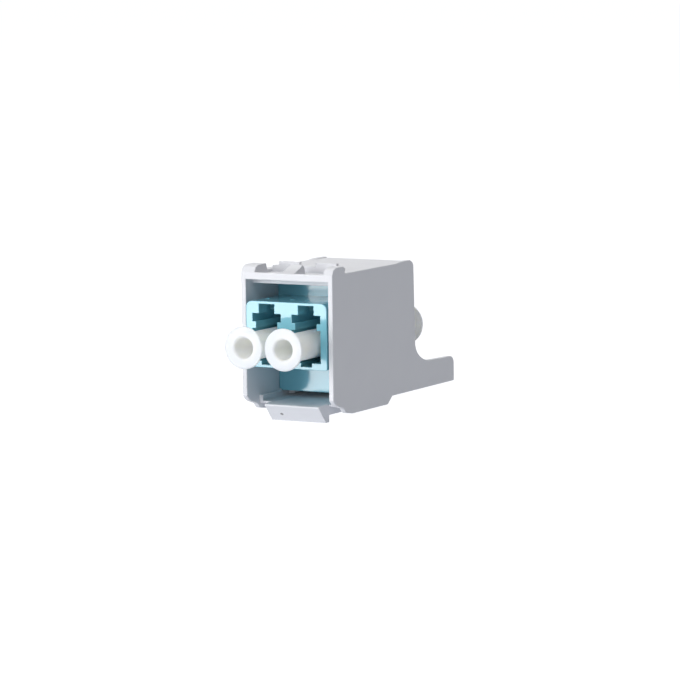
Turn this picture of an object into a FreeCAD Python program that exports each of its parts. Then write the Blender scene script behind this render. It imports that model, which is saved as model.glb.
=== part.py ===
import FreeCAD, Part
import math
import os

# Duplex LC adapter in a snap-in module housing, with four dust caps.
# Frame: X runs across the two ports, the front faces -Y, +Z is up. The origin lies on the
# housing's front face, halfway between the two ports and on the height of their axes.
# All sizes are in millimetres.

# ---- LC duplex interface -------------------------------------------------------------
PORT_PITCH = 6.25
WINDOW_W = 4.5            # square opening for the plug's body
WINDOW_BOTTOM = 2.5       # below the port's axis
WINDOW_TOP = 2.0          # above the port's axis, where the neck begins
NECK_W = 3.37
NECK_TOP = 2.97
SHOULDER_W = 4.5          # slot for the shoulders of the plug's lever
SHOULDER_TOP = 4.1
LEVER_W = 2.43            # notch for the lever itself
LEVER_TOP = 5.42
KEY_W = 1.7               # shallow notch in the window's floor
KEY_DEPTH = 0.55
CATCH_SETBACK = 2.4       # from the port's face to the pocket that holds the lever
CATCH_LENGTH = 2.6
CATCH_DROP = 0.2          # the pocket's roof lies below the lever notch's roof

# ---- Adapter mouldings ---------------------------------------------------------------
BODY_W = 12.8
BODY_TOP = 5.8
BODY_BOTTOM = 3.43
BODY_CORNER_R = 0.9
FACE_PROUD = 0.2          # the port face stands this far in front of the housing
FLANGE_Y = 8.9            # front of the flange plate
FRONT_FLANGE_T = 0.7
REAR_FLANGE_T = 0.9
REAR_BODY_LENGTH = 13.5   # from the weld plane to the rear port face
WEB_T = 0.8               # wall behind each port, on each side of the weld plane
PIP_R = 0.42              # crush pips on top of the body
PIP_HEIGHT = 0.12
PIP_Y = 2.95
PIP_PLACES = (-4.65, -0.72, 1.67)
PIP_ROOT = 0.1            # the pips start this far inside the body

# ---- Sleeve tubes and ceramic split sleeves -------------------------------------------
TUBE_R = 1.45
TUBE_SETBACK = 2.6        # from the port's face to the tube's mouth
TUBE_MOUTH_R = 0.68
SLEEVE_R = 0.81
SLEEVE_BORE_R = 0.6245
SLEEVE_LENGTH = 11.4
SLEEVE_SLOT = 0.28
SLEEVE_FLOAT = 0.06       # radial play of the sleeve in its tube
SLEEVE_END_PLAY = 0.1

# ---- Housing -------------------------------------------------------------------------
SLIDE_GAP = 0.05          # flange to housing, all round and at both stops
FLANGE_OVERHANG = 0.08    # flange past the body, each side
CAVITY_TOP = 8.05
CAVITY_BOTTOM = 7.85
SIDE_WALL = 0.72
ROOF_T = 1.7
FLOOR_T = 1.1
SKIRT_DEPTH = 1.05        # side plates below the floor
HOUSING_LENGTH = 23.9
REAR_DRAFT = 0.35         # the rear edge leans back by this towards its foot
ROOF_REAR_R = 0.9
TAIL_LENGTH = 12.35
TAIL_TOP = 5.1            # below the ports' axes
TAIL_FALL = 0.2           # the tail's top edge drops by this towards its end
TAIL_CORNER_R = 1.1
TAIL_HEEL_R = 0.2         # lower rear corner
TAIL_SWEEP_Y = 4.9        # elliptical sweep from the rear edge to the tail
TAIL_SWEEP_Z = 3.1
MOUTH_DEPTH = 2.0         # deeper front part of the opening
MOUTH_RISE = 0.7
SKIRT_END_Y = 15.8
SKIRT_STEP = 1.4
SKIRT_END_R = 0.4
CHIN_START = 7.65         # the slanted lower front corner of each side plate starts here
CHIN_CORNERS = ((0.7, 8.33, 2.0), (2.95, 9.05, 0.8), (3.55, 9.7, 0.8))  # back, down, radius
CHIN_LENGTH = 5.5
FLOOR_Y = 3.4             # the floor starts behind this
LEDGE_W = 0.55            # full-height strip of floor along each side wall
SHELF_DROP = 0.8          # floor beside the arm, below the ledges
STOP_RIB_W = 0.9
STOP_RIB_X = 5.45
STOP_RIB_LENGTH = 11.6
STOP_RIB_CLEAR = 0.25     # rib to adapter body
SNAP_BEAD = 0.3

# ---- Latch arm -----------------------------------------------------------------------
ARM_W = 8.72
ARM_SLOT = 0.2
ARM_DROP = 0.75           # arm's top face below the floor's top face
ARM_T = 1.6
ARM_ROOT_Y = 15.4
ARM_ROOT_R = 0.2
LIP_Y = 0.84
LIP_RAMP = 2.18
LIP_REAR_Y = 3.95
LIP_DROP = 1.0
LIP_NOSE = 0.16           # the nose's upper edge lies below the arm's top face
LIP_CROWN = 1.2           # the nose rounds into the arm's top face over this length
LIP_CROWN_R = 0.6
LIP_NOSE_R = 0.18
LIP_EDGE_R = 0.12
GATE_R = 0.2              # shallow dimple on the lip's ramp where the moulding was filled
GATE_DEPTH = 0.1
GATE_X = -2.2
GATE_DOWN_RAMP = 0.58     # share of the ramp above the dimple

# ---- Fixed lugs and panel stop on the roof --------------------------------------------
LUG_HEIGHT = 1.0
LUG_LENGTH = 3.7
LUG_FRONT_LEAN = 0.45     # the outer lugs' front face leans back by this
LUG_BROW = 0.28           # and ends this far below their top
LUG_CROWN_Y = 1.2         # their flat top starts here
LUG_REAR_LEAN = 0.35
LUG_EDGE_R = 0.15
RAMP_START = 0.3          # the middle lug is a ramp from here
RAMP_CREST = 0.75         # crest to the lug's rear end
RAMP_REAR_LEAN = 0.2
LEFT_LUG_W = 2.15
RIGHT_LUG_W = 1.45
MIDDLE_LUG_W = 2.0
POCKET_DEPTH = 0.4
POCKET_MARGIN = 1.6       # pocket's end to the side of the housing
ROOF_ROOT = 0.4           # what stands on the roof starts this far inside it
FRONT_EDGE = 0.45         # rim in front of the pocket
STOP_BAR_Y = 5.9
STOP_BAR_T = 0.75
STOP_BAR_HEIGHT = 0.5
STOP_PAD_W = 3.35
STOP_PAD_X = 2.95
STOP_PAD_HEIGHT = 1.03
CORNER_STRIP_W = 0.85
CORNER_STRIP_LENGTH = 4.6
CORNER_STRIP_HEIGHT = 0.14

# ---- Dust caps -----------------------------------------------------------------------
CAP_FLANGE_R = 2.95
CAP_FLANGE_T = 0.42
CAP_RIM_CHAMFER = 0.12
CAP_BARREL_R = 1.95
CAP_RECESS_R = 1.42
CAP_RECESS_DEPTH = 6.0
CAP_MOUTH_CHAMFER = 0.22
CAP_WALL = 0.3            # closed end of the bore, past the sleeve tube's mouth
CAP_FIT = 0.05            # radial, cap bore to sleeve tube
CAP_COVER = 5.6           # length of sleeve tube inside the cap
CAP_TIP_CHAMFER = 0.25
FRONT_CAP_STANDOFF = 6.45 # cap's outer face to the port face
REAR_CAP_STANDOFF = 5.9

# ---- Derived places ------------------------------------------------------------------
PORTS = {"left": -PORT_PITCH / 2, "right": PORT_PITCH / 2}
FACE_Y = -FACE_PROUD
WELD_Y = FLANGE_Y + FRONT_FLANGE_T
REAR_FACE_Y = WELD_Y + REAR_BODY_LENGTH
SLEEVE_MID_Y = (FACE_Y + REAR_FACE_Y) / 2
FLANGE_HALF_W = BODY_W / 2 + FLANGE_OVERHANG
CAVITY_HALF_W = FLANGE_HALF_W + SLIDE_GAP
HOUSING_HALF_W = CAVITY_HALF_W + SIDE_WALL
ROOF_Z = CAVITY_TOP + ROOF_T
FLOOR_Z = -CAVITY_BOTTOM
TAIL_BASE_Z = FLOOR_Z - FLOOR_T
SKIRT_Z = TAIL_BASE_Z - SKIRT_DEPTH
TAIL_END_Y = HOUSING_LENGTH + TAIL_LENGTH
ARM_TOP_Z = FLOOR_Z - ARM_DROP
ARM_BASE_Z = ARM_TOP_Z - ARM_T
LIP_BASE_Z = ARM_BASE_Z - LIP_DROP
POCKET_Z = ROOF_Z - POCKET_DEPTH
PAST = 1.0                # cutters run this far past the faces that they open


def box(x0, x1, y0, y1, z0, z1):
    return Part.makeBox(x1 - x0, y1 - y0, z1 - z0, FreeCAD.Vector(x0, y0, z0))


def unit(a, b):
    length = math.hypot(b[0] - a[0], b[1] - a[1])
    return ((b[0] - a[0]) / length, (b[1] - a[1]) / length)


def rounded_wire(corners, place):
    """Closed wire through (a, b) or (a, b, radius) corners; place turns (a, b) into a point."""
    stations = []
    for index, corner in enumerate(corners):
        before = corners[index - 1]
        after = corners[(index + 1) % len(corners)]
        radius = corner[2] if len(corner) > 2 else 0
        if not radius:
            stations.append([corner])
            continue
        back = unit(corner, before)
        ahead = unit(corner, after)
        half = math.acos(back[0] * ahead[0] + back[1] * ahead[1]) / 2
        reach = radius / math.tan(half)
        middle = unit((0, 0), (back[0] + ahead[0], back[1] + ahead[1]))
        depth = radius / math.sin(half) - radius
        stations.append([
            (corner[0] + back[0] * reach, corner[1] + back[1] * reach),
            (corner[0] + middle[0] * depth, corner[1] + middle[1] * depth),
            (corner[0] + ahead[0] * reach, corner[1] + ahead[1] * reach),
        ])
    edges = []
    for index, station in enumerate(stations):
        start = stations[index - 1][-1]
        edges.append(Part.LineSegment(place(start), place(station[0])).toShape())
        if len(station) > 1:
            edges.append(Part.Arc(*[place(point) for point in station]).toShape())
    return Part.Wire(edges)


def side_prism(corners, x0, x1):
    """Outline of (y, z) corners, extruded across from x0 to x1."""
    wire = rounded_wire(corners, lambda p: FreeCAD.Vector(x0, p[0], p[1]))
    return Part.Face(wire).extrude(FreeCAD.Vector(x1 - x0, 0, 0))


def front_prism(corners, y0, y1):
    """Outline of (x, z) corners, extruded back from y0 to y1."""
    wire = rounded_wire(corners, lambda p: FreeCAD.Vector(p[0], y0, p[1]))
    return Part.Face(wire).extrude(FreeCAD.Vector(0, y1 - y0, 0))


def round_rod(x, y0, y1, radius):
    return Part.makeCylinder(radius, y1 - y0, FreeCAD.Vector(x, y0, 0), FreeCAD.Vector(0, 1, 0))


def turned(profile, x):
    """Solid of revolution about the port axis at x, from (radius, y) corners."""
    wire = rounded_wire(profile, lambda p: FreeCAD.Vector(x + p[0], p[1], 0))
    return Part.Face(wire).revolve(FreeCAD.Vector(x, 0, 0), FreeCAD.Vector(0, 1, 0), 360)


# ---- Housing -------------------------------------------------------------------------
def housing_block():
    """Side outline of roof, side plates and tail, across the full width."""
    foot_y = HOUSING_LENGTH + REAR_DRAFT
    sweep_z = TAIL_SWEEP_Z - TAIL_TOP
    step_y = SKIRT_END_Y + SKIRT_STEP
    chin = [(y, -below, radius) for y, below, radius in CHIN_CORNERS]
    block = side_prism([
        (0, ROOF_Z),
        (0, -CHIN_START),
        *chin,
        (CHIN_LENGTH, SKIRT_Z),
        (SKIRT_END_Y, SKIRT_Z, SKIRT_END_R),
        (step_y, TAIL_BASE_Z, SKIRT_END_R),
        (TAIL_END_Y, TAIL_BASE_Z, TAIL_HEEL_R),
        (TAIL_END_Y, -TAIL_TOP - TAIL_FALL, TAIL_CORNER_R),
        (foot_y + TAIL_SWEEP_Y, -TAIL_TOP),
        (foot_y, -TAIL_TOP),
        (foot_y, sweep_z),
        (HOUSING_LENGTH, ROOF_Z, ROOF_REAR_R),
    ], -HOUSING_HALF_W, HOUSING_HALF_W)
    fillet_block = box(-HOUSING_HALF_W, HOUSING_HALF_W, foot_y, foot_y + TAIL_SWEEP_Y,
                       -TAIL_TOP, sweep_z)
    centre = FreeCAD.Vector(-HOUSING_HALF_W, foot_y + TAIL_SWEEP_Y, sweep_z)
    ellipse = Part.Ellipse(centre + FreeCAD.Vector(0, TAIL_SWEEP_Y, 0),
                           centre + FreeCAD.Vector(0, 0, TAIL_SWEEP_Z), centre)
    hollow = Part.Face(Part.Wire(ellipse.toShape())).extrude(
        FreeCAD.Vector(2 * HOUSING_HALF_W, 0, 0))
    return block.fuse(fillet_block.cut(hollow))


def housing_hollow():
    """Through cavity, deeper mouth, open front floor, stepped shelves and the arm's window."""
    half = CAVITY_HALF_W
    window = ARM_W / 2 + ARM_SLOT
    cavity = box(-half, half, -PAST, TAIL_END_Y + PAST, FLOOR_Z, CAVITY_TOP)
    between_ledges = half - LEDGE_W
    mouth = box(-half, half, -PAST, MOUTH_DEPTH, FLOOR_Z, CAVITY_TOP + MOUTH_RISE)
    front_floor = box(-half, half, -PAST, FLOOR_Y, LIP_BASE_Z - PAST, FLOOR_Z)
    shelves = box(-between_ledges, between_ledges, -PAST, ARM_ROOT_Y, FLOOR_Z - SHELF_DROP, FLOOR_Z)
    arm_window = box(-window, window, -PAST, ARM_ROOT_Y, LIP_BASE_Z - PAST, FLOOR_Z)
    under_floor = box(-half, half, -PAST, ARM_ROOT_Y, LIP_BASE_Z - PAST, TAIL_BASE_Z)
    return [cavity, mouth, front_floor, shelves, arm_window, under_floor]


def latch_arm():
    """Flexing arm rooted in the floor, with the ramped locking lip at its free end."""
    half = ARM_W / 2
    step_y = SKIRT_END_Y + SKIRT_STEP
    return side_prism([
        (LIP_Y, ARM_TOP_Z - LIP_NOSE, LIP_NOSE_R),
        (LIP_Y + LIP_RAMP, LIP_BASE_Z, LIP_EDGE_R),
        (LIP_REAR_Y, LIP_BASE_Z, LIP_EDGE_R),
        (LIP_REAR_Y, ARM_BASE_Z, LIP_EDGE_R),
        (SKIRT_END_Y - SKIRT_STEP, ARM_BASE_Z),
        (step_y, TAIL_BASE_Z),
        (step_y, FLOOR_Z),
        (ARM_ROOT_Y, FLOOR_Z),
        (ARM_ROOT_Y, ARM_TOP_Z, ARM_ROOT_R),
        (LIP_Y + LIP_CROWN, ARM_TOP_Z, LIP_CROWN_R),
    ], -half, half)


def gate_dimple():
    """Short round cutter square to the ramp of the latch lip."""
    y = LIP_Y + GATE_DOWN_RAMP * LIP_RAMP
    ramp_top = ARM_TOP_Z - LIP_NOSE
    fall = ramp_top - LIP_BASE_Z
    outward = FreeCAD.Vector(0, -fall, -LIP_RAMP).normalize()
    centre = FreeCAD.Vector(GATE_X, y, ramp_top - GATE_DOWN_RAMP * fall)
    return Part.makeCylinder(GATE_R, GATE_DEPTH + PAST, centre - outward * GATE_DEPTH, outward)


def roof_lugs():
    """Three fixed lugs at the front of the roof, which hook behind the panel."""
    top = ROOF_Z + LUG_HEIGHT
    base = POCKET_Z - ROOF_ROOT
    hook = [
        (0, ROOF_Z),
        (LUG_FRONT_LEAN, top - LUG_BROW, LUG_EDGE_R),
        (LUG_CROWN_Y, top),
        (LUG_LENGTH - LUG_REAR_LEAN, top, LUG_EDGE_R),
        (LUG_LENGTH, ROOF_Z),
        (LUG_LENGTH, base),
        (0, base),
    ]
    ramp = [
        (RAMP_START, ROOF_Z),
        (LUG_LENGTH - RAMP_CREST, top, LUG_EDGE_R),
        (LUG_LENGTH - RAMP_REAR_LEAN, ROOF_Z + LUG_HEIGHT / 2),
        (LUG_LENGTH, POCKET_Z),
        (LUG_LENGTH, base),
        (RAMP_START, base),
    ]
    return [
        side_prism(hook, -HOUSING_HALF_W, -HOUSING_HALF_W + LEFT_LUG_W),
        side_prism(hook, HOUSING_HALF_W - RIGHT_LUG_W, HOUSING_HALF_W),
        side_prism(ramp, -MIDDLE_LUG_W / 2, MIDDLE_LUG_W / 2),
    ]


def panel_stop():
    """Cross bar with two pads behind the lugs; the panel's edge sits in the gap between."""
    base = POCKET_Z - ROOF_ROOT
    end = HOUSING_HALF_W - POCKET_MARGIN
    pieces = [box(-end, end, STOP_BAR_Y, STOP_BAR_Y + STOP_BAR_T, base, ROOF_Z + STOP_BAR_HEIGHT)]
    for side in (-1, 1):
        centre = side * STOP_PAD_X
        pieces.append(box(centre - STOP_PAD_W / 2, centre + STOP_PAD_W / 2, STOP_BAR_Y,
                          STOP_BAR_Y + STOP_BAR_T, base, ROOF_Z + STOP_PAD_HEIGHT))
    return pieces


def corner_strips():
    """Low strips along the rear corners of the roof, each with a ramped start."""
    end_y = HOUSING_LENGTH - ROOF_REAR_R
    start_y = end_y - CORNER_STRIP_LENGTH
    top = ROOF_Z + CORNER_STRIP_HEIGHT
    outline = [
        (start_y, ROOF_Z - ROOF_ROOT),
        (end_y, ROOF_Z - ROOF_ROOT),
        (end_y, top),
        (start_y + CORNER_STRIP_LENGTH / 3, top),
        (start_y, ROOF_Z),
    ]
    inner = HOUSING_HALF_W - CORNER_STRIP_W
    return [
        side_prism(outline, -HOUSING_HALF_W, -inner),
        side_prism(outline, inner, HOUSING_HALF_W),
    ]


def flange_seats():
    """Stop ribs behind the flange plate and snap beads in front of it."""
    rib_y = WELD_Y + REAR_FLANGE_T + SLIDE_GAP
    bead_y = FLANGE_Y - SLIDE_GAP
    pieces = []
    for side in (-1, 1):
        x0 = side * STOP_RIB_X - STOP_RIB_W / 2
        x1 = side * STOP_RIB_X + STOP_RIB_W / 2
        pieces.append(box(x0, x1, rib_y, rib_y + STOP_RIB_LENGTH,
                          BODY_TOP + STOP_RIB_CLEAR, CAVITY_TOP + ROOF_T / 2))
        pieces.append(box(x0, x1, rib_y, rib_y + STOP_RIB_LENGTH,
                          FLOOR_Z - FLOOR_T / 2, -BODY_BOTTOM - STOP_RIB_CLEAR))
        inner, outer = sorted((side * (CAVITY_HALF_W - LEDGE_W), side * CAVITY_HALF_W))
        for z, inward in ((CAVITY_TOP, -1), (FLOOR_Z, 1)):
            pieces.append(side_prism([
                (bead_y, z - inward * SNAP_BEAD),
                (bead_y, z + inward * SNAP_BEAD),
                (bead_y - 2 * SNAP_BEAD, z),
                (bead_y - 2 * SNAP_BEAD, z - inward * SNAP_BEAD),
            ], inner, outer))
    return pieces


def snap_in_housing():
    pocket_half = HOUSING_HALF_W - POCKET_MARGIN
    pocket = box(-pocket_half, pocket_half, FRONT_EDGE, STOP_BAR_Y + STOP_BAR_T / 2,
                 POCKET_Z, ROOF_Z + PAST)
    body = housing_block().cut(housing_hollow() + [pocket])
    arm = latch_arm().cut(gate_dimple())
    additions = [arm] + roof_lugs() + panel_stop() + corner_strips() + flange_seats()
    return body.fuse(additions).removeSplitter()


# ---- Adapter -------------------------------------------------------------------------
def port_outline(x):
    """Stepped outline of one LC port, as (x, z) corners."""
    rows = [
        (KEY_W / 2, -WINDOW_BOTTOM - KEY_DEPTH),
        (KEY_W / 2, -WINDOW_BOTTOM),
        (WINDOW_W / 2, -WINDOW_BOTTOM),
        (WINDOW_W / 2, WINDOW_TOP),
        (NECK_W / 2, WINDOW_TOP),
        (NECK_W / 2, NECK_TOP),
        (SHOULDER_W / 2, NECK_TOP),
        (SHOULDER_W / 2, SHOULDER_TOP),
        (LEVER_W / 2, SHOULDER_TOP),
        (LEVER_W / 2, LEVER_TOP),
    ]
    right = [(x + half, z) for half, z in rows]
    left = [(x - half, z) for half, z in reversed(rows)]
    return right + left


def adapter_half(face_y, flange_t, inward):
    """One moulding: ported shell, flange plate and two sleeve tubes.

    inward is +1 where the port faces -Y and -1 where it faces +Y.
    """
    half = BODY_W / 2
    low_y, high_y = sorted((face_y, WELD_Y))
    shell = front_prism([
        (-half, -BODY_BOTTOM, BODY_CORNER_R / 3),
        (half, -BODY_BOTTOM, BODY_CORNER_R / 3),
        (half, BODY_TOP, BODY_CORNER_R),
        (-half, BODY_TOP, BODY_CORNER_R),
    ], low_y, high_y)
    flange_low, flange_high = sorted((WELD_Y, WELD_Y - inward * flange_t))
    flange = box(-FLANGE_HALF_W, FLANGE_HALF_W, flange_low, flange_high,
                 FLOOR_Z + SLIDE_GAP, CAVITY_TOP - SLIDE_GAP)
    moulding = shell.fuse(flange)
    cuts = []
    tubes = []
    bores = []
    for x in PORTS.values():
        open_low, open_high = sorted((face_y - inward * PAST, WELD_Y - inward * WEB_T))
        cuts.append(front_prism(port_outline(x), open_low, open_high))
        catch_low, catch_high = sorted((face_y + inward * CATCH_SETBACK,
                                        face_y + inward * (CATCH_SETBACK + CATCH_LENGTH)))
        cuts.append(box(x - SHOULDER_W / 2, x + SHOULDER_W / 2, catch_low, catch_high,
                        NECK_TOP, LEVER_TOP - CATCH_DROP))
        mouth_y = face_y + inward * TUBE_SETBACK
        tube_low, tube_high = sorted((mouth_y, WELD_Y))
        tubes.append(round_rod(x, tube_low, tube_high, TUBE_R))
        seat_y = SLEEVE_MID_Y - inward * (SLEEVE_LENGTH / 2 + SLEEVE_END_PLAY)
        bores.append(turned([
            (0, WELD_Y + inward * PAST),
            (SLEEVE_R + SLEEVE_FLOAT, WELD_Y + inward * PAST),
            (SLEEVE_R + SLEEVE_FLOAT, seat_y),
            (TUBE_MOUTH_R, seat_y),
            (TUBE_MOUTH_R, mouth_y - inward * PAST),
            (0, mouth_y - inward * PAST),
        ], x))
    return moulding.cut(cuts).fuse(tubes).cut(bores)


def crush_pips():
    """Three low domes on top of the front body."""
    pips = []
    ball_r = (PIP_R ** 2 + PIP_HEIGHT ** 2) / (2 * PIP_HEIGHT)
    for x in PIP_PLACES:
        centre = FreeCAD.Vector(x, PIP_Y, BODY_TOP + PIP_HEIGHT - ball_r)
        ball = Part.makeSphere(ball_r, centre)
        keep = box(centre.x - PIP_R, centre.x + PIP_R, PIP_Y - PIP_R, PIP_Y + PIP_R,
                   BODY_TOP - PIP_ROOT, BODY_TOP + 2 * PIP_HEIGHT)
        pips.append(ball.common(keep))
    return pips


def adapter_front_half():
    moulding = adapter_half(FACE_Y, FRONT_FLANGE_T, 1)
    return moulding.fuse(crush_pips()).removeSplitter()


def adapter_rear_half():
    return adapter_half(REAR_FACE_Y, REAR_FLANGE_T, -1).removeSplitter()


def alignment_sleeve(x):
    """Ceramic tube with one slot along its length, which opens upwards."""
    low_y = SLEEVE_MID_Y - SLEEVE_LENGTH / 2
    high_y = SLEEVE_MID_Y + SLEEVE_LENGTH / 2
    tube = round_rod(x, low_y, high_y, SLEEVE_R)
    bore = round_rod(x, low_y - PAST, high_y + PAST, SLEEVE_BORE_R)
    slot = box(x - SLEEVE_SLOT / 2, x + SLEEVE_SLOT / 2, low_y - PAST, high_y + PAST,
               0, SLEEVE_R + PAST)
    return tube.cut([bore, slot])


# ---- Dust caps -----------------------------------------------------------------------
def dust_cap(x, face_y, outward, standoff):
    """Flanged sleeve with a blind recess outside and a bore that covers the sleeve tube.

    outward is -1 where the cap points to -Y and +1 where it points to +Y.
    """
    def at(depth):
        return face_y + outward * (standoff - depth)

    tip = standoff + TUBE_SETBACK + CAP_COVER
    bore_floor = standoff + TUBE_SETBACK - CAP_WALL
    bore_r = TUBE_R + CAP_FIT
    return turned([
        (CAP_RECESS_R, at(CAP_MOUTH_CHAMFER)),
        (CAP_RECESS_R + CAP_MOUTH_CHAMFER, at(0)),
        (CAP_FLANGE_R - CAP_RIM_CHAMFER, at(0)),
        (CAP_FLANGE_R, at(CAP_RIM_CHAMFER)),
        (CAP_FLANGE_R, at(CAP_FLANGE_T - CAP_RIM_CHAMFER)),
        (CAP_FLANGE_R - CAP_RIM_CHAMFER, at(CAP_FLANGE_T)),
        (CAP_BARREL_R, at(CAP_FLANGE_T)),
        (CAP_BARREL_R, at(tip - CAP_TIP_CHAMFER)),
        (CAP_BARREL_R - CAP_TIP_CHAMFER, at(tip)),
        (bore_r, at(tip)),
        (bore_r, at(bore_floor)),
        (0, at(bore_floor)),
        (0, at(CAP_RECESS_DEPTH)),
        (CAP_RECESS_R, at(CAP_RECESS_DEPTH)),
    ], x)


def pieces():
    """Every node of the assembly, by name."""
    nodes = {
        "snap_in_housing": snap_in_housing(),
        "adapter_front_half": adapter_front_half(),
        "adapter_rear_half": adapter_rear_half(),
    }
    for side, x in PORTS.items():
        nodes["alignment_sleeve_" + side] = alignment_sleeve(x)
        nodes["front_cap_" + side] = dust_cap(x, FACE_Y, -1, FRONT_CAP_STANDOFF)
        nodes["rear_cap_" + side] = dust_cap(x, REAR_FACE_Y, 1, REAR_CAP_STANDOFF)
    return nodes


os.makedirs("parts", exist_ok=True)
for name, shape in pieces().items():
    bounds = shape.BoundBox
    print(f"{name}: {len(shape.Solids)} solid, volume {shape.Volume:.1f} mm3, valid {shape.isValid()}, "
          f"x {bounds.XMin:.2f}..{bounds.XMax:.2f} y {bounds.YMin:.2f}..{bounds.YMax:.2f} "
          f"z {bounds.ZMin:.2f}..{bounds.ZMax:.2f}")
    shape.exportStep("parts/" + name + ".step")
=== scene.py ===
import math

import bmesh
import bpy
import numpy as np
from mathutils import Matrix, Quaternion, Vector


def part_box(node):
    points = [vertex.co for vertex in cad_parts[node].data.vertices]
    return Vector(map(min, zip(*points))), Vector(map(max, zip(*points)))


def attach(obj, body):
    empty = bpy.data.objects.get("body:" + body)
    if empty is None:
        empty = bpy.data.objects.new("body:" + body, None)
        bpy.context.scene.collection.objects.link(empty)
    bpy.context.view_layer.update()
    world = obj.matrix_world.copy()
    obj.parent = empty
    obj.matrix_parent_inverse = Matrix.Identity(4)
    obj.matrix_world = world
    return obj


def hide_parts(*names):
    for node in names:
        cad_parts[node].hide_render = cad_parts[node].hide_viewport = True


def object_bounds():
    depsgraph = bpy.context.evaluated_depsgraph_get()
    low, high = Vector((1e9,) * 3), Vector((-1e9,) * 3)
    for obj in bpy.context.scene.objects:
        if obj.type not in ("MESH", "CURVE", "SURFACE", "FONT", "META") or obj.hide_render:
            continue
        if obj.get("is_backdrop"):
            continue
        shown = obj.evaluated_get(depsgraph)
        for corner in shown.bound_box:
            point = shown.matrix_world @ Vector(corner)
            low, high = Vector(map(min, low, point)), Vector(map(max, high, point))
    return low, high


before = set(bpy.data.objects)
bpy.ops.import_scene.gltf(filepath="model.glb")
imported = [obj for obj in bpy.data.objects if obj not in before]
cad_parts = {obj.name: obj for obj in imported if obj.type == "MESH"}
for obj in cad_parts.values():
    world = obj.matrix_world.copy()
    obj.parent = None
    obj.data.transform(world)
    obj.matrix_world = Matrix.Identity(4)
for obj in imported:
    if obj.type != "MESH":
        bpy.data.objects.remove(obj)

cad_low, cad_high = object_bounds()

# ======================================================================================
# Snap-in housing: one white moulding that carries the adapter in a panel opening. Roof,
# side plates, latch arm and tail are moulded together, in a tool with a fine satin
# finish, so its edges are softly broken rather than sharp.
# ======================================================================================
MM = 0.001
HOUSING_EDGE_R = 0.11 * MM
EDGE_STEPS = 3
SHARP_TURN = math.radians(28)
MERGE_REACH = 0.002 * MM
FLAT_TURN = math.radians(0.6)
IN_LINE = 0.5
ROOM_SHARE = 0.42
HARD_SHARE = 0.1


def soft_edged_copy(node, name, edge_r):
    """Copy of a CAD node's mesh, closed at its seams and with its flat faces joined up. Its
    outward edges that turn more than SHARP_TURN are rounded by a Bevel modifier: to edge_r,
    or beside a narrow face to ROOM_SHARE of its width. Inward ones stay sharp."""
    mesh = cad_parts[node].data.copy()
    mesh.name = name
    shell = bmesh.new()
    shell.from_mesh(mesh)
    bmesh.ops.remove_doubles(shell, verts=shell.verts, dist=MERGE_REACH)
    bmesh.ops.dissolve_limit(shell, angle_limit=FLAT_TURN, verts=shell.verts, edges=shell.edges)
    for face in shell.faces:
        face.smooth = True
    share = shell.edges.layers.float.new("bevel_weight_edge")
    for edge in shell.edges:
        if edge.calc_face_angle(0) < SHARP_TURN:
            continue
        edge[share] = room_beside(edge, edge_r) / edge_r if edge.is_convex else 0
        edge.smooth = edge[share] > HARD_SHARE
    shell.to_mesh(mesh)
    shell.free()
    piece = bpy.data.objects.new(name, mesh)
    bpy.context.scene.collection.objects.link(piece)
    bevel = piece.modifiers.new("broken edges", "BEVEL")
    bevel.width = edge_r
    bevel.segments = EDGE_STEPS
    bevel.limit_method = "WEIGHT"
    bevel.use_clamp_overlap = False
    bevel.miter_outer = "MITER_ARC"
    level = piece.modifiers.new("flat faces", "WEIGHTED_NORMAL")
    level.keep_sharp = True
    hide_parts(node)
    return piece


def room_beside(edge, wanted):
    """How far the edge can be cut back: wanted, or a share of the shortest side that leaves
    either of its ends across one of its two faces."""
    here = (edge.verts[1].co - edge.verts[0].co).normalized()
    room = wanted
    for corner in edge.link_loops:
        for beside in (corner.link_loop_prev.edge, corner.link_loop_next.edge):
            across = (beside.verts[1].co - beside.verts[0].co).cross(here).length
            if across > IN_LINE * beside.calc_length():
                room = min(room, ROOM_SHARE * across)
    return room


class Wire:
    """A value on its way through a material. Arithmetic on it adds Math nodes."""

    def __init__(self, finish, socket):
        self.finish = finish
        self.socket = socket

    def math(self, operation, other):
        return self.finish.node("ShaderNodeMath", {"operation": operation}, {0: self, 1: other})

    def __add__(self, other):
        return self.math("ADD", other)

    def __mul__(self, other):
        return self.math("MULTIPLY", other)

    __radd__ = __add__
    __rmul__ = __mul__


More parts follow.
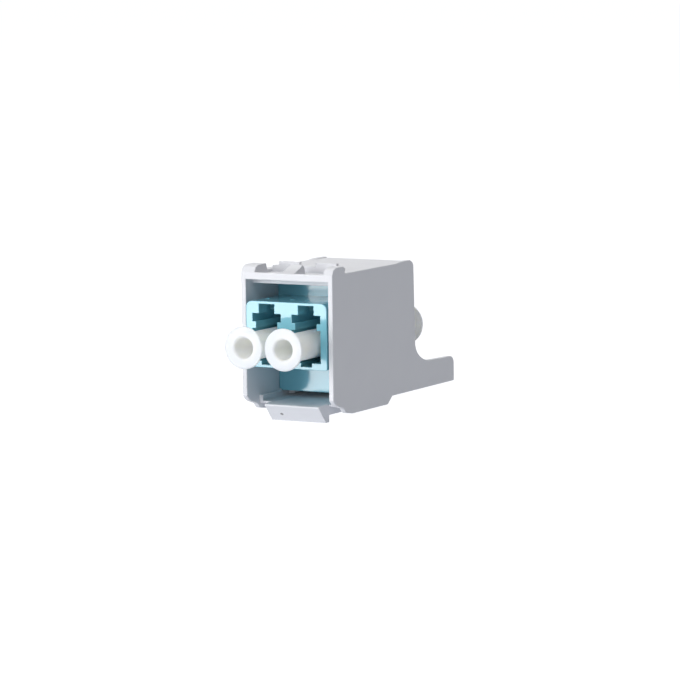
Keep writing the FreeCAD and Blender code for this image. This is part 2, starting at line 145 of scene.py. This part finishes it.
class Finish:
    """The node tree of a new material, or of the world, as it is built up."""

    def __init__(self, owner):
        self.owner = owner
        owner.use_nodes = True
        self.tree = owner.node_tree
        self.tree.nodes.clear()

    def node(self, kind, settings=None, values=None, output=0):
        """Adds a node: its settings first, then the values or links of its sockets."""
        made = self.tree.nodes.new(kind)
        for key, value in (settings or {}).items():
            setattr(made, key, value)
        for key, value in (values or {}).items():
            if isinstance(value, Wire):
                self.tree.links.new(value.socket, made.inputs[key])
            else:
                made.inputs[key].default_value = value
        return None if output is None else Wire(self, made.outputs[output])

    def place(self):
        """Position in metres from the object's own origin."""
        return self.node("ShaderNodeTexCoord", output="Object")

    def noise(self, grain, detail=2.0, roughness=0.5):
        """Smooth noise from 0 to 1 whose lumps are about grain metres across."""
        return self.node("ShaderNodeTexNoise", None, {
            "Vector": self.place(), "Scale": 1 / grain, "Detail": detail, "Roughness": roughness})

    def blend(self, share, low, high):
        """Colour between low and high by share."""
        return self.node("ShaderNodeMix", {"data_type": "RGBA"},
                         {"Factor": share, 6: low, 7: high}, 2)

    def bump(self, height, depth, strength=1.0):
        """Normal of a surface whose height runs from 0 to depth metres."""
        return self.node("ShaderNodeBump", None,
                         {"Height": height, "Distance": depth, "Strength": strength})

    def shade(self, **values):
        """Ends the material in a Principled shader with these sockets set."""
        named = {key.replace("_", " "): value for key, value in values.items()}
        shader = self.node("ShaderNodeBsdfPrincipled", None, named)
        self.node("ShaderNodeOutputMaterial", None, {"Surface": shader}, None)
        return self.owner


def colour(red, green, blue):
    """Colour as a paint chart gives it, from 0 to 255, turned into light values."""
    chart = np.array([red, green, blue]) / 255
    light = np.where(chart <= 0.04045, chart / 12.92, ((chart + 0.055) / 1.055) ** 2.4)
    return (*light.tolist(), 1.0)


# Painted shade: a dark spot is painted into the gate dimple on the latch lip, standing in for the
# shadow in it.
GATE_CENTRE = (-2.20 * MM, 2.10 * MM, -10.18 * MM)
GATE_SHADE_R = 0.32 * MM
GATE_CORE_R = 0.16 * MM
GATE_SHADE_DEPTH = 0.8


def housing_finish():
    """White styrene with a fine satin grain: the tone drifts a little over the length of
    the moulding, and the sheen is broken up by a grain of about a tenth of a millimetre.
    In the moulding gate's dimple on the latch lip a darker spot is painted in: painted shade,
    standing in for the shadow that falls in the dimple."""
    finish = Finish(bpy.data.materials.new("white satin moulding"))
    drift = finish.noise(6 * MM)
    patches = finish.noise(0.9 * MM, detail=3.0)
    grain = finish.noise(0.11 * MM, detail=3.0, roughness=0.6)
    # Painted shade in the gate dimple: full within GATE_CORE_R of its centre, fading out at the
    # outer radius.
    away = finish.node("ShaderNodeVectorMath", {"operation": "DISTANCE"},
                       {0: finish.place(), 1: GATE_CENTRE}, "Value")
    gate_shade = finish.node("ShaderNodeMapRange", {"interpolation_type": "SMOOTHSTEP"}, {
        "Value": away, "From Min": GATE_CORE_R, "From Max": GATE_SHADE_R,
        "To Min": GATE_SHADE_DEPTH, "To Max": 0.0})
    tone = finish.blend(drift, colour(214, 215, 220), colour(219, 220, 224))
    return finish.shade(
        # The dark colour here is the painted shade of the gate dimple.
        Base_Color=finish.blend(gate_shade, tone, colour(112, 110, 110)),
        Roughness=0.42 + 0.08 * patches + 0.06 * grain,
        Normal=finish.bump(grain + 0.6 * patches, 0.006 * MM, 0.5),
        IOR=1.52,
    )


def coat(piece, material):
    """Gives the whole piece one material."""
    piece.data.materials.clear()
    piece.data.materials.append(material)


housing = soft_edged_copy("snap_in_housing", "module_housing", HOUSING_EDGE_R)
coat(housing, housing_finish())
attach(housing, "adapter_module")

# ======================================================================================
# Adapter: two aqua mouldings, front and rear, welded together at their flanges. Each is
# a shell with two stepped plug openings and two sleeve tubes, in a polished tool that
# leaves crisp edges and a smooth, slightly waxy surface.
# ======================================================================================
ADAPTER_EDGE_R = 0.07 * MM


def adapter_finish():
    """Aqua polyester: an even tone with faint flow bands along the moulding, and a sheen
    that is smooth at arm's length with a very fine grain close to."""
    finish = Finish(bpy.data.materials.new("aqua polished moulding"))
    flow = finish.noise(2.4 * MM, detail=3.0)
    grain = finish.noise(0.08 * MM, detail=2.0)
    return finish.shade(
        Base_Color=finish.blend(flow, colour(112, 178, 196), colour(120, 186, 203)),
        Roughness=0.06 + 0.05 * flow + 0.03 * grain,
        Normal=finish.bump(grain, 0.002 * MM, 0.2),
        IOR=1.55,
    )


aqua = adapter_finish()
for node, name in (("adapter_front_half", "front_half"), ("adapter_rear_half", "rear_half")):
    half = soft_edged_copy(node, name, ADAPTER_EDGE_R)
    coat(half, aqua)
    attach(half, "adapter_module")

# ======================================================================================
# Alignment sleeves: split zirconia tubes, ground and polished, caught between the two
# mouldings. Each springs open a little along its slot to grip two plug ferrules.
# ======================================================================================
SLEEVE_WALL = 0.1855 * MM
SLEEVE_SLOT_W = 0.28 * MM
SLEEVE_EDGE_R = 0.04 * MM
TURN_STEPS = 96
ARC_STEPS = 5
LONG_SIDE = 4


def rounded(corners):
    """Profile through corners of (radius, y or depth, edge radius): a corner with an edge
    radius becomes an arc that touches both its sides, the others stay single points."""
    places = np.array([corner[:2] for corner in corners], float)
    stations = []
    for index, corner in enumerate(corners):
        here = places[index]
        if not corner[2]:
            stations.append(here[None, :])
            continue
        back = places[index - 1] - here
        ahead = places[(index + 1) % len(corners)] - here
        back /= np.linalg.norm(back)
        ahead /= np.linalg.norm(ahead)
        half = math.acos(float(back @ ahead)) / 2
        start = here + back * corner[2] / math.tan(half)
        stop = here + ahead * corner[2] / math.tan(half)
        inward = (back + ahead) / np.linalg.norm(back + ahead)
        middle = here + inward * corner[2] / math.sin(half)
        turn = math.pi - 2 * half
        share = np.linspace(0, 1, ARC_STEPS + 1)[:, None]
        arc = (np.sin((1 - share) * turn) * (start - middle)
               + np.sin(share * turn) * (stop - middle))
        stations.append(middle + arc / math.sin(turn))
    return np.concatenate(stations)


def with_flat_sides(profile, closed, reach):
    """Adds two points to each side longer than LONG_SIDE times reach, that far from its
    ends, so that the shading of the side stays flat between its rounded corners."""
    following = np.roll(profile, -1, axis=0)
    length = np.linalg.norm(following - profile, axis=1)
    is_long = length > LONG_SIDE * reach
    is_long[-1] &= closed
    step = (following - profile) * reach / np.maximum(length, reach)[:, None]
    points = np.stack([profile, profile + step, following - step], axis=1)
    wanted = np.stack([np.ones_like(is_long), is_long, is_long], axis=1)
    return points[wanted]


def turned(name, profile, axis_x, closed=False, gap=0.0):
    """Surface of revolution about a port's axis: each profile point (radius, y) becomes a
    ring at x = axis_x + radius * sin(turn), z = radius * cos(turn). A closed profile with
    a gap of some radians leaves that much open at the top, between two flat ends."""
    open_ring = gap > 0
    turns = np.linspace(gap / 2, 2 * math.pi - gap / 2, TURN_STEPS + open_ring,
                        endpoint=open_ring)
    radius, along = profile[:, :1], profile[:, 1:]
    across, up = radius * np.sin(turns), radius * np.cos(turns)
    rings = np.stack([axis_x + across, along + 0 * turns, up], -1)
    rows, columns = rings.shape[:2]
    numbers = np.arange(rows * columns).reshape(rows, columns)
    below = numbers if closed else numbers[:-1]
    above = np.roll(numbers, -1, axis=0) if closed else numbers[1:]
    if open_ring:
        quads = np.stack([below[:, :-1], above[:, :-1], above[:, 1:], below[:, 1:]], -1)
    else:
        quads = np.stack([below, above, np.roll(above, -1, 1), np.roll(below, -1, 1)], -1)
    faces = quads.reshape(-1, 4).tolist()
    if open_ring:
        faces += [numbers[::-1, 0].tolist(), numbers[:, -1].tolist()]
    mesh = bpy.data.meshes.new(name)
    mesh.from_pydata(rings.reshape(-1, 3).tolist(), [], faces)
    shell = bmesh.new()
    shell.from_mesh(mesh)
    bmesh.ops.remove_doubles(shell, verts=shell.verts, dist=MERGE_REACH)
    bmesh.ops.recalc_face_normals(shell, faces=shell.faces)
    for face in shell.faces:
        face.smooth = len(face.verts) <= 4
    shell.to_mesh(mesh)
    shell.free()
    piece = bpy.data.objects.new(name, mesh)
    bpy.context.scene.collection.objects.link(piece)
    return piece


def ceramic_finish():
    """Polished zirconia: cool white, with a clear gloss."""
    finish = Finish(bpy.data.materials.new("polished ceramic"))
    cloud = finish.noise(0.8 * MM)
    return finish.shade(
        Base_Color=finish.blend(cloud, colour(240, 238, 230), colour(246, 245, 240)),
        Roughness=0.12 + 0.05 * cloud,
        IOR=2.1,
    )


ceramic = ceramic_finish()
for side in ("left", "right"):
    low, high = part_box("alignment_sleeve_" + side)
    outer_r = (high.x - low.x) / 2
    inner_r = outer_r - SLEEVE_WALL
    outline = rounded([
        (inner_r, low.y, SLEEVE_EDGE_R),
        (outer_r, low.y, SLEEVE_EDGE_R),
        (outer_r, high.y, SLEEVE_EDGE_R),
        (inner_r, high.y, SLEEVE_EDGE_R),
    ])
    outline = with_flat_sides(outline, True, SLEEVE_EDGE_R)
    slot = SLEEVE_SLOT_W / outer_r
    sleeve = turned("sleeve_" + side, outline, (low.x + high.x) / 2, closed=True, gap=slot)
    coat(sleeve, ceramic)
    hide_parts("alignment_sleeve_" + side)
    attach(sleeve, "adapter_module")

# ======================================================================================
# Dust caps: soft white polythene sleeves with a thin round flange, pushed over the
# sleeve tubes by hand. The outer end is cored out by a deep round recess, and light
# glows through the waxy plastic.
# ======================================================================================
CAP_FLANGE_T = 0.42 * MM
CAP_RIM_R = 0.19 * MM
CAP_ROOT_R = 0.12 * MM
CAP_BARREL_R = 1.95 * MM
CAP_RECESS_R = 1.42 * MM
CAP_RECESS_DEPTH = 6.0 * MM
CAP_MOUTH_R = 0.32 * MM
CAP_FLOOR_R = 0.2 * MM
CAP_BORE_R = 1.5 * MM
CAP_BORE_LENGTH = 5.9 * MM
CAP_TIP_R = 0.15 * MM
CAP_SIDE_REACH = 0.05 * MM


def cap_profile(length, flange_r):
    """(radius, depth) corners from the middle of the recess's floor, out over the flange,
    down the barrel, and up the bore that takes the sleeve tube."""
    return rounded([
        (0, CAP_RECESS_DEPTH, 0),
        (CAP_RECESS_R, CAP_RECESS_DEPTH, CAP_FLOOR_R),
        (CAP_RECESS_R, 0, CAP_MOUTH_R),
        (flange_r, 0, CAP_RIM_R),
        (flange_r, CAP_FLANGE_T, CAP_RIM_R),
        (CAP_BARREL_R, CAP_FLANGE_T, CAP_ROOT_R),
        (CAP_BARREL_R, length, CAP_TIP_R),
        (CAP_BORE_R, length, CAP_TIP_R),
        (CAP_BORE_R, length - CAP_BORE_LENGTH, CAP_TIP_R),
        (0, length - CAP_BORE_LENGTH, 0),
    ])


def cap_finish():
    """Waxy white polythene: light enters and spreads a millimetre or two, which warms the
    recess and softens the shading of the barrel."""
    finish = Finish(bpy.data.materials.new("waxy white polythene"))
    cloud = finish.noise(1.6 * MM, detail=3.0)
    grain = finish.noise(0.12 * MM, detail=2.0)
    return finish.shade(
        Base_Color=finish.blend(cloud, colour(255, 254, 243), colour(255, 255, 247)),
        Roughness=0.34 + 0.08 * cloud + 0.04 * grain,
        Normal=finish.bump(grain, 0.004 * MM, 0.3),
        Subsurface_Weight=1.0,
        Subsurface_Radius=(1.0, 0.95, 0.8),
        Subsurface_Scale=3.0 * MM,
        IOR=1.51,
    )


polythene = cap_finish()
for end, outward in (("front", -1), ("rear", 1)):
    for side in ("left", "right"):
        node = end + "_cap_" + side
        low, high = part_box(node)
        outer_y = low.y if outward < 0 else high.y
        profile = cap_profile(high.y - low.y, (high.x - low.x) / 2)
        profile = with_flat_sides(profile, False, CAP_SIDE_REACH)
        profile[:, 1] = outer_y - outward * profile[:, 1]
        cap = turned(node + "_moulding", profile, (low.x + high.x) / 2)
        coat(cap, polythene)
        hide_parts(node)
        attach(cap, node + "_body")

# ======================================================================================
# Studio: a white acrylic table lit softly from below, in a plain white room. An upright
# softbox on the front left is the key. Wide ones fill in from the front and the left,
# from over the camera, and from high behind the object.
# ======================================================================================
TABLE_HALF = 12.0
TABLE_REST_GAP = 0.02 * MM
TABLE_TONE = 0.3
TABLE_GLOW = 0.42
TABLE_TINT = (0.94, 1.0, 1.12, 1)
SEEN_WHITE = 1.4
SEEN_SHARE = 0.6
SOFTBOXES = (
    # name, azimuth, elevation, distance, width, height, power
    ("key", -30, 5, 0.75, 0.24, 0.43, 2.7),
    ("front", 0, 10, 0.9, 0.9, 0.4, 1.8),
    ("above camera", 10, 38, 0.9, 0.4, 0.4, 3.0),
    ("behind", 180, 72, 0.9, 0.7, 0.7, 5.1),
    ("left", -60, 15, 0.9, 0.4, 0.4, 0.6),
)


def outward_from(azimuth, elevation):
    """Unit vector from the object towards azimuth 0 at -Y, turning to +X."""
    flat = math.cos(elevation)
    return Vector((math.sin(azimuth) * flat, -math.cos(azimuth) * flat, math.sin(elevation)))


def lit_table():
    """A large plain sheet that looks white and keeps the object's shadow in its lit share.
    It lets the key through from below, as clear acrylic would."""
    corners = [(-TABLE_HALF, -TABLE_HALF), (TABLE_HALF, -TABLE_HALF),
               (TABLE_HALF, TABLE_HALF), (-TABLE_HALF, TABLE_HALF)]
    height = cad_low.z - TABLE_REST_GAP
    mesh = bpy.data.meshes.new("table")
    mesh.from_pydata([(x, y, height) for x, y in corners], [], [(0, 1, 2, 3)])
    table = bpy.data.objects.new("table", mesh)
    bpy.context.scene.collection.objects.link(table)
    finish = Finish(bpy.data.materials.new("lit white table"))
    camera_ray = finish.node("ShaderNodeLightPath", output="Is Camera Ray")
    paint = finish.node("ShaderNodeBsdfDiffuse", None,
                        {"Color": (TABLE_TONE, TABLE_TONE, TABLE_TONE, 1)})
    glow = finish.node("ShaderNodeEmission", None, {"Color": TABLE_TINT, "Strength": TABLE_GLOW})
    lit = finish.node("ShaderNodeAddShader", None, {0: paint, 1: glow})
    white = finish.node("ShaderNodeEmission", None, {"Strength": SEEN_WHITE})
    seen = finish.node("ShaderNodeMixShader", None,
                       {"Fac": camera_ray * SEEN_SHARE, 1: lit, 2: white})
    finish.node("ShaderNodeOutputMaterial", None, {"Surface": seen}, None)
    coat(table, finish.owner)
    table.visible_shadow = False
    table.visible_glossy = False
    table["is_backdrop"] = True


def white_room():
    """The world: plain white where it is seen or mirrored, and no light of its own."""
    world = bpy.data.worlds.new("white room")
    bpy.context.scene.world = world
    finish = Finish(world)
    camera_ray = finish.node("ShaderNodeLightPath", output="Is Camera Ray")
    glossy_ray = finish.node("ShaderNodeLightPath", output="Is Glossy Ray")
    plain = finish.node("ShaderNodeBackground", None, {
        "Color": (1, 1, 1, 1), "Strength": camera_ray.math("MAXIMUM", glossy_ray)})
    finish.node("ShaderNodeOutputWorld", None, {"Surface": plain}, None)


def softbox(name, azimuth, elevation, distance, width, height, power):
    """A rectangular lamp at a distance from the object, shining back at it."""
    towards = outward_from(math.radians(azimuth), math.radians(elevation))
    light = bpy.data.lights.new(name, "AREA")
    light.shape = "RECTANGLE"
    light.size = width
    light.size_y = height
    light.energy = power
    holder = bpy.data.objects.new(name, light)
    holder.location = towards * distance
    holder.rotation_mode = "QUATERNION"
    holder.rotation_quaternion = (-towards).to_track_quat("-Z", "Y")
    holder.visible_camera = False
    bpy.context.scene.collection.objects.link(holder)


lit_table()
white_room()
for row in SOFTBOXES:
    softbox(*row)

# ======================================================================================
# Camera: a long lens half a metre away, a little above the ports and to their right. It
# looks past the origin of the frame, which lies left of the middle of the picture.
# ======================================================================================
VIEW_AZIMUTH = math.radians(29.9)
VIEW_ELEVATION = math.radians(6.7)
VIEW_DISTANCE = 0.5
VIEW_ROLL = math.radians(0.68)
AIM_RIGHT = 7.317 * MM
AIM_UP = 0.441 * MM
LENS = 191.38
CLIP_NEAR = 0.05
CLIP_FAR = 10.0


def place_camera():
    """Sets the camera up and aims it AIM_RIGHT and AIM_UP of the origin, as it sees them."""
    back = outward_from(VIEW_AZIMUTH, VIEW_ELEVATION)
    right = Vector((math.cos(VIEW_AZIMUTH), math.sin(VIEW_AZIMUTH), 0))
    aim = right * AIM_RIGHT + back.cross(right) * AIM_UP
    place = back * VIEW_DISTANCE
    camera = bpy.data.cameras.new("camera")
    camera.lens = LENS
    camera.clip_start = CLIP_NEAR
    camera.clip_end = CLIP_FAR
    holder = bpy.data.objects.new("camera", camera)
    holder.location = place
    holder.rotation_mode = "QUATERNION"
    holder.rotation_quaternion = ((aim - place).to_track_quat("-Z", "Y")
                                  @ Quaternion((0, 0, 1), -VIEW_ROLL))
    bpy.context.scene.collection.objects.link(holder)
    bpy.context.scene.camera = holder


place_camera()
bpy.context.scene.view_settings.view_transform = "Standard"

low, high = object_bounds()
